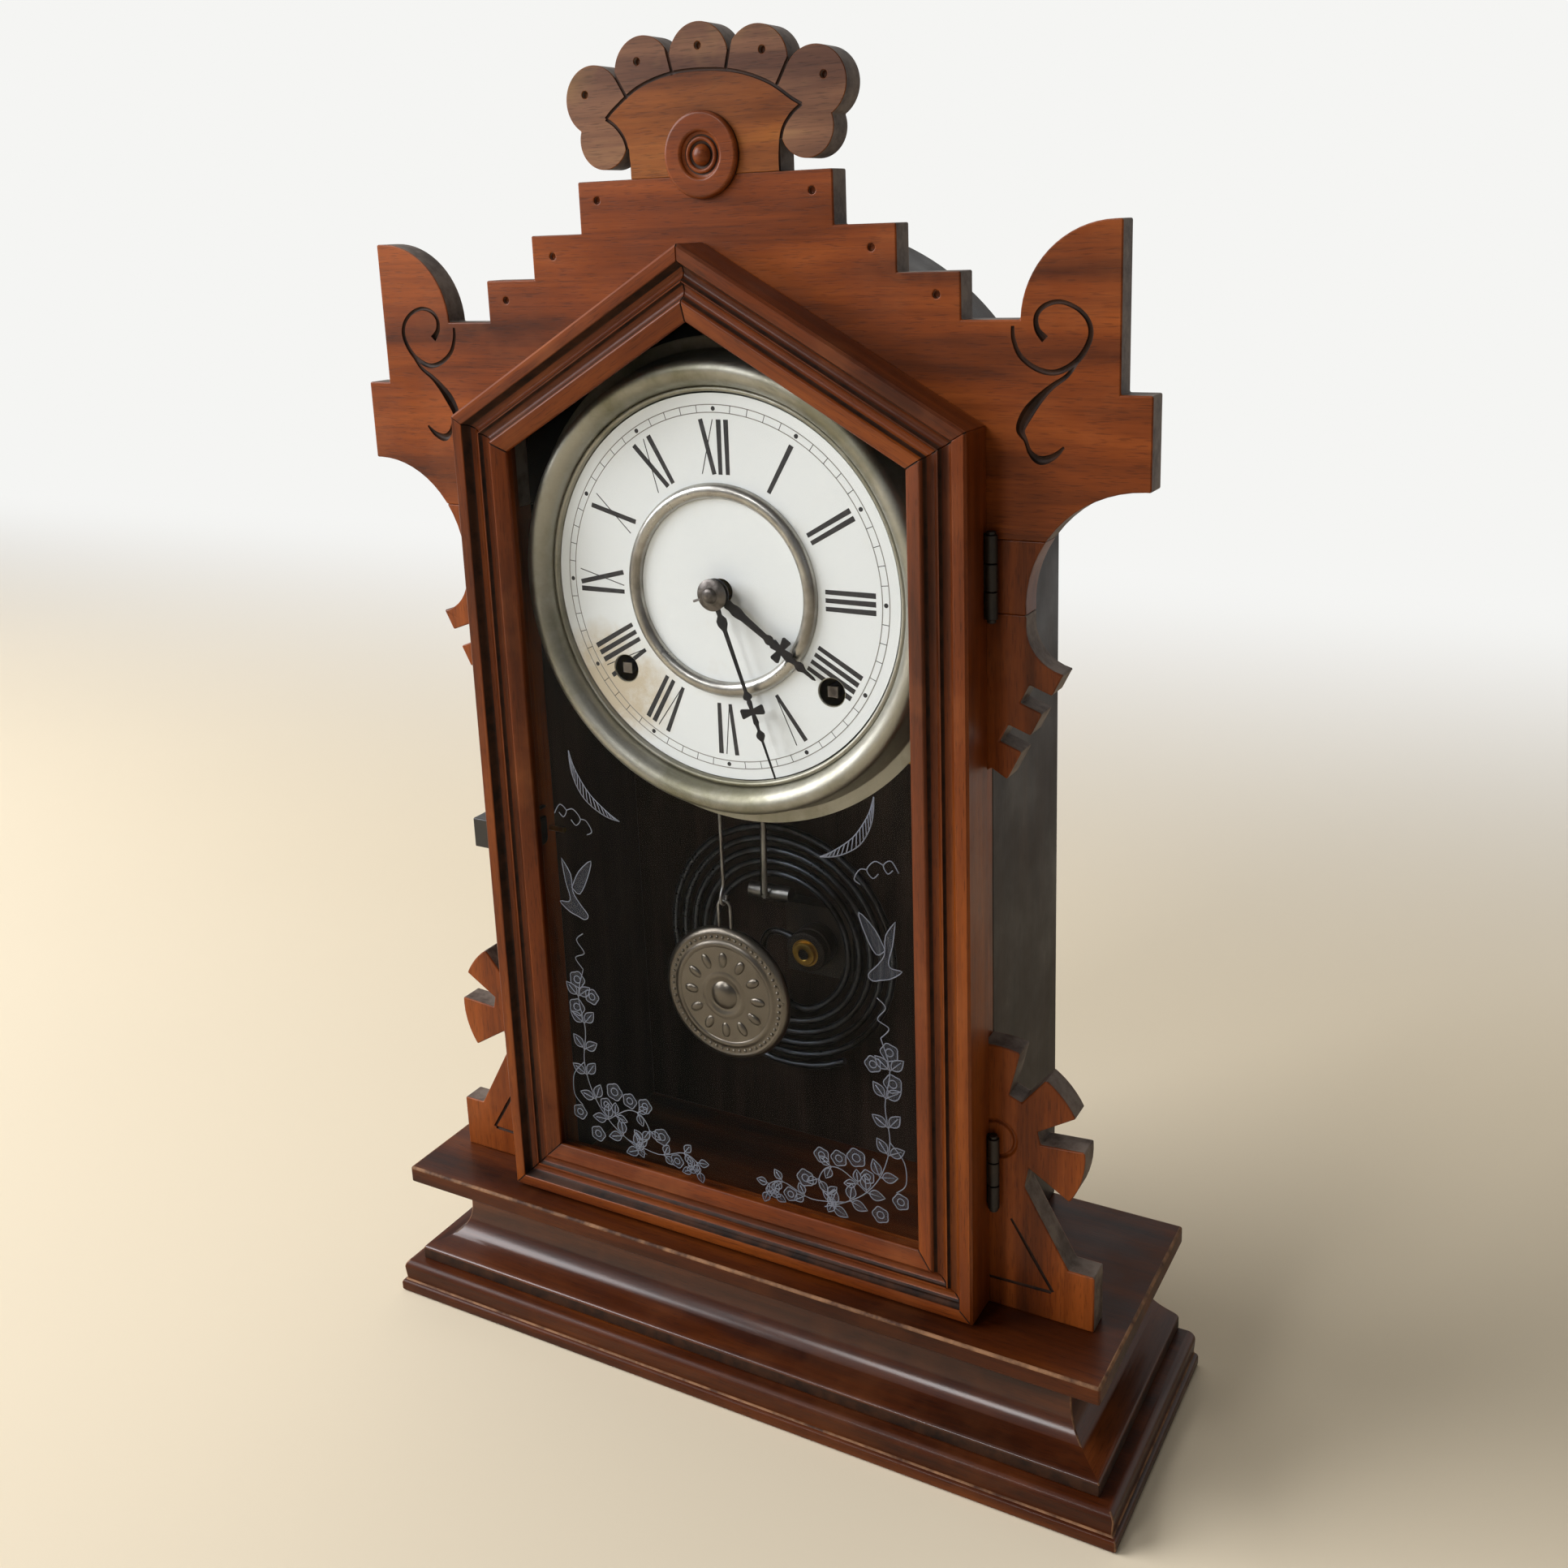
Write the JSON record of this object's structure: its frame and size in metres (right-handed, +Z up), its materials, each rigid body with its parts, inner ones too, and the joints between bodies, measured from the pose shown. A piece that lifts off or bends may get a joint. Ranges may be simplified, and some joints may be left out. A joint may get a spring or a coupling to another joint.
{
  "type": "gabled shelf clock",
  "caption": "Gabled walnut shelf clock with stepped shoulders, lobed crest, fretted side brackets, glazed door, round dial, hanging pendulum, wire gong and an ogee base moulding.",
  "frame": {"origin": "middle of the base on the surface that the clock stands on", "axes": "+X to the right as seen from the front, +Y to the back, +Z up; the dial faces -Y"},
  "size_m": [0.2884, 0.0958, 0.4594],
  "materials": {
    "walnut": "shellacked walnut",
    "dark_walnut": "shellacked dark walnut",
    "case_wood": "plain stained wood",
    "brass": "brass",
    "steel": "steel",
    "black_steel": "black steel",
    "spring_steel": "dark spring steel",
    "dial_metal": "tarnished plated metal",
    "paper": "off-white paper",
    "glass": "thin window glass",
    "black_paint": "black paint"
  },
  "bodies": {
    "case": {"deck_board": "dark_walnut", "plinth_moulding": "dark_walnut", "ogee_moulding": "dark_walnut", "base_back_rail": "case_wood", "case_side_left": "dark_walnut", "case_side_right": "dark_walnut", "case_arch": "dark_walnut", "case_back": "case_wood", "front_stiles": "walnut", "gable_board": "walnut", "cheek_blocks": "walnut", "mid_bracket_left": "walnut", "mid_bracket_right": "walnut", "lower_bracket_left": "walnut", "lower_bracket_right": "walnut", "crest_board": "walnut", "crest_roundel": "dark_walnut", "hinge_case_leaves": "brass", "hinge_pins": "steel", "latch_keeper": "brass", "dial_pan": "dial_metal", "dial_paper": "paper", "dial_ring": "dial_metal", "dial_blocks": "case_wood", "dial_tacks": "brass", "back_plate": "brass", "front_plate": "brass", "pillars": "steel", "pillar_nuts": "brass", "mainsprings": "spring_steel", "suspension_post": "brass", "gong_coil": "spring_steel", "gong_boss": "brass"},
    "door": {"door_stile_left": "walnut", "door_stile_right": "walnut", "door_bottom_rail": "walnut", "door_gable_left": "walnut", "door_gable_right": "walnut", "door_glass": "glass", "glass_beads": "case_wood", "hinge_door_leaves": "brass"},
    "latch": {"latch_knob": "black_paint"},
    "centre": {"centre_arbor": "brass", "minute_hand": "black_steel"},
    "hour": {"hour_wheel": "brass", "hour_hand": "black_steel"},
    "minute_wheel": {"minute_wheel": "brass"},
    "time_main": {"time_main_wheel": "brass"},
    "time_second": {"time_second_wheel": "brass"},
    "third": {"third_wheel": "brass"},
    "escape": {"escape_wheel": "brass"},
    "verge": {"verge": "steel"},
    "pendulum": {"pendulum_rod": "steel", "pendulum_bob": "brass"},
    "strike_main": {"strike_main_wheel": "brass"},
    "strike_second": {"strike_second_wheel": "brass"},
    "strike_cam": {"strike_cam_wheel": "brass"},
    "fly": {"fly": "brass"},
    "count_wheel": {"count_wheel": "brass"},
    "hammer": {"hammer": "brass"}
  },
  "joints": [
    {"name": "door_swing", "type": "hinge", "parent": "case", "child": "door", "pos_m": [0.0943, -0.0224, 0.2], "axis": [0, 0, 1], "range_deg": [0, 105]},
    {"name": "latch_turn", "type": "hinge", "parent": "door", "child": "latch", "pos_m": [-0.0923, -0.0234, 0.192], "axis": [-1, 0, 0], "range_deg": [0, 90]},
    {"name": "minute_arbor_turn", "type": "hinge", "parent": "case", "child": "centre", "pos_m": [0, 0, 0.2872], "axis": [0, 1, 0], "continuous": true},
    {"name": "hour_turn", "type": "hinge", "parent": "case", "child": "hour", "pos_m": [0, 0, 0.2872], "axis": [0, 1, 0], "continuous": true},
    {"name": "minute_wheel_turn", "type": "hinge", "parent": "case", "child": "minute_wheel", "pos_m": [0.0084, 0, 0.27265], "axis": [0, 1, 0], "continuous": true},
    {"name": "time_main_turn", "type": "hinge", "parent": "case", "child": "time_main", "pos_m": [0.039, 0, 0.2575], "axis": [0, 1, 0], "continuous": true},
    {"name": "time_second_turn", "type": "hinge", "parent": "case", "child": "time_second", "pos_m": [0.02789, 0, 0.28472], "axis": [0, 1, 0], "continuous": true},
    {"name": "third_turn", "type": "hinge", "parent": "case", "child": "third", "pos_m": [-0.00018, 0, 0.3096], "axis": [0, 1, 0], "continuous": true},
    {"name": "escape_turn", "type": "hinge", "parent": "case", "child": "escape", "pos_m": [-0.011, 0, 0.3265], "axis": [0, 1, 0], "continuous": true},
    {"name": "pendulum_swing", "type": "hinge", "parent": "case", "child": "pendulum", "pos_m": [-0.011, 0, 0.35], "axis": [0, 1, 0], "range_deg": [-3, 3]},
    {"name": "verge_rock", "type": "hinge", "parent": "case", "child": "verge", "pos_m": [-0.011, 0, 0.3445], "axis": [0, 1, 0], "range_deg": [-3.6, 3.6]},
    {"name": "strike_main_turn", "type": "hinge", "parent": "case", "child": "strike_main", "pos_m": [-0.039, 0, 0.2575], "axis": [0, 1, 0], "continuous": true},
    {"name": "strike_second_turn", "type": "hinge", "parent": "case", "child": "strike_second", "pos_m": [-0.02789, 0, 0.28472], "axis": [0, 1, 0], "continuous": true},
    {"name": "strike_cam_turn", "type": "hinge", "parent": "case", "child": "strike_cam", "pos_m": [-0.03352, 0, 0.30928], "axis": [0, 1, 0], "continuous": true},
    {"name": "fly_turn", "type": "hinge", "parent": "case", "child": "fly", "pos_m": [-0.02453, 0, 0.32251], "axis": [0, 1, 0], "continuous": true},
    {"name": "count_wheel_turn", "type": "hinge", "parent": "case", "child": "count_wheel", "pos_m": [-0.039, 0, 0.2575], "axis": [0, 1, 0], "continuous": true},
    {"name": "hammer_swing", "type": "hinge", "parent": "case", "child": "hammer", "pos_m": [-0.012, 0, 0.252], "axis": [0, -1, 0], "range_deg": [0, 4.5]}
  ],
  "couplings": [
    {"joint": "hour_turn", "follows": "minute_arbor_turn", "ratio": 0.083333},
    {"joint": "minute_wheel_turn", "follows": "minute_arbor_turn", "ratio": -0.33333},
    {"joint": "time_main_turn", "follows": "minute_arbor_turn", "ratio": 0.055556},
    {"joint": "time_second_turn", "follows": "minute_arbor_turn", "ratio": -0.33333},
    {"joint": "third_turn", "follows": "minute_arbor_turn", "ratio": -9},
    {"joint": "escape_turn", "follows": "minute_arbor_turn", "ratio": 108},
    {"joint": "verge_rock", "follows": "pendulum_swing", "ratio": 1.1622},
    {"joint": "strike_second_turn", "follows": "strike_main_turn", "ratio": -6},
    {"joint": "strike_cam_turn", "follows": "strike_main_turn", "ratio": 30},
    {"joint": "fly_turn", "follows": "strike_main_turn", "ratio": -210},
    {"joint": "count_wheel_turn", "follows": "strike_main_turn", "ratio": 0.33333}
  ]
}
